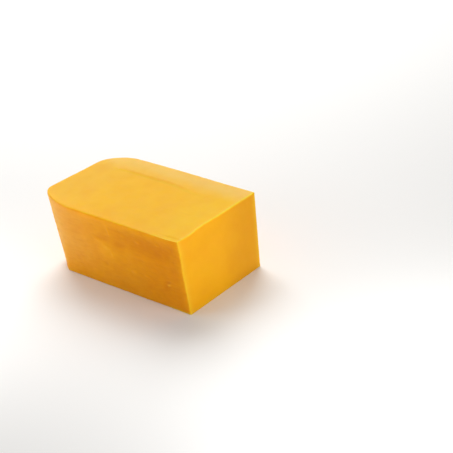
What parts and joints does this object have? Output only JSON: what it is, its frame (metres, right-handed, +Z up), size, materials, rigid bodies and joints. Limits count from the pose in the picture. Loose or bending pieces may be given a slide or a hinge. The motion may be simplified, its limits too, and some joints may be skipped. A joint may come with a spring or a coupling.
{
  "type": "cheese block",
  "caption": "Moulded block of yellow prato cheese with upright corners at one end that are rounded at the top and blunt at the base, sides that lean in to the base, and a flat knife-cut face at the other end.",
  "frame": {"origin": "middle of the base, at the bottom centre of the bounding box", "axes": "+X along the block from the moulded end to the knife-cut end, +Y from the front to the back, +Z up"},
  "size_m": [0.2314, 0.1324, 0.096],
  "materials": {
    "cheese": "smooth, slightly oily semi-matt cheese, orange-yellow, paler at the knife edges"
  },
  "bodies": {
    "root": {"cheese_block": "cheese"}
  },
  "joints": []
}
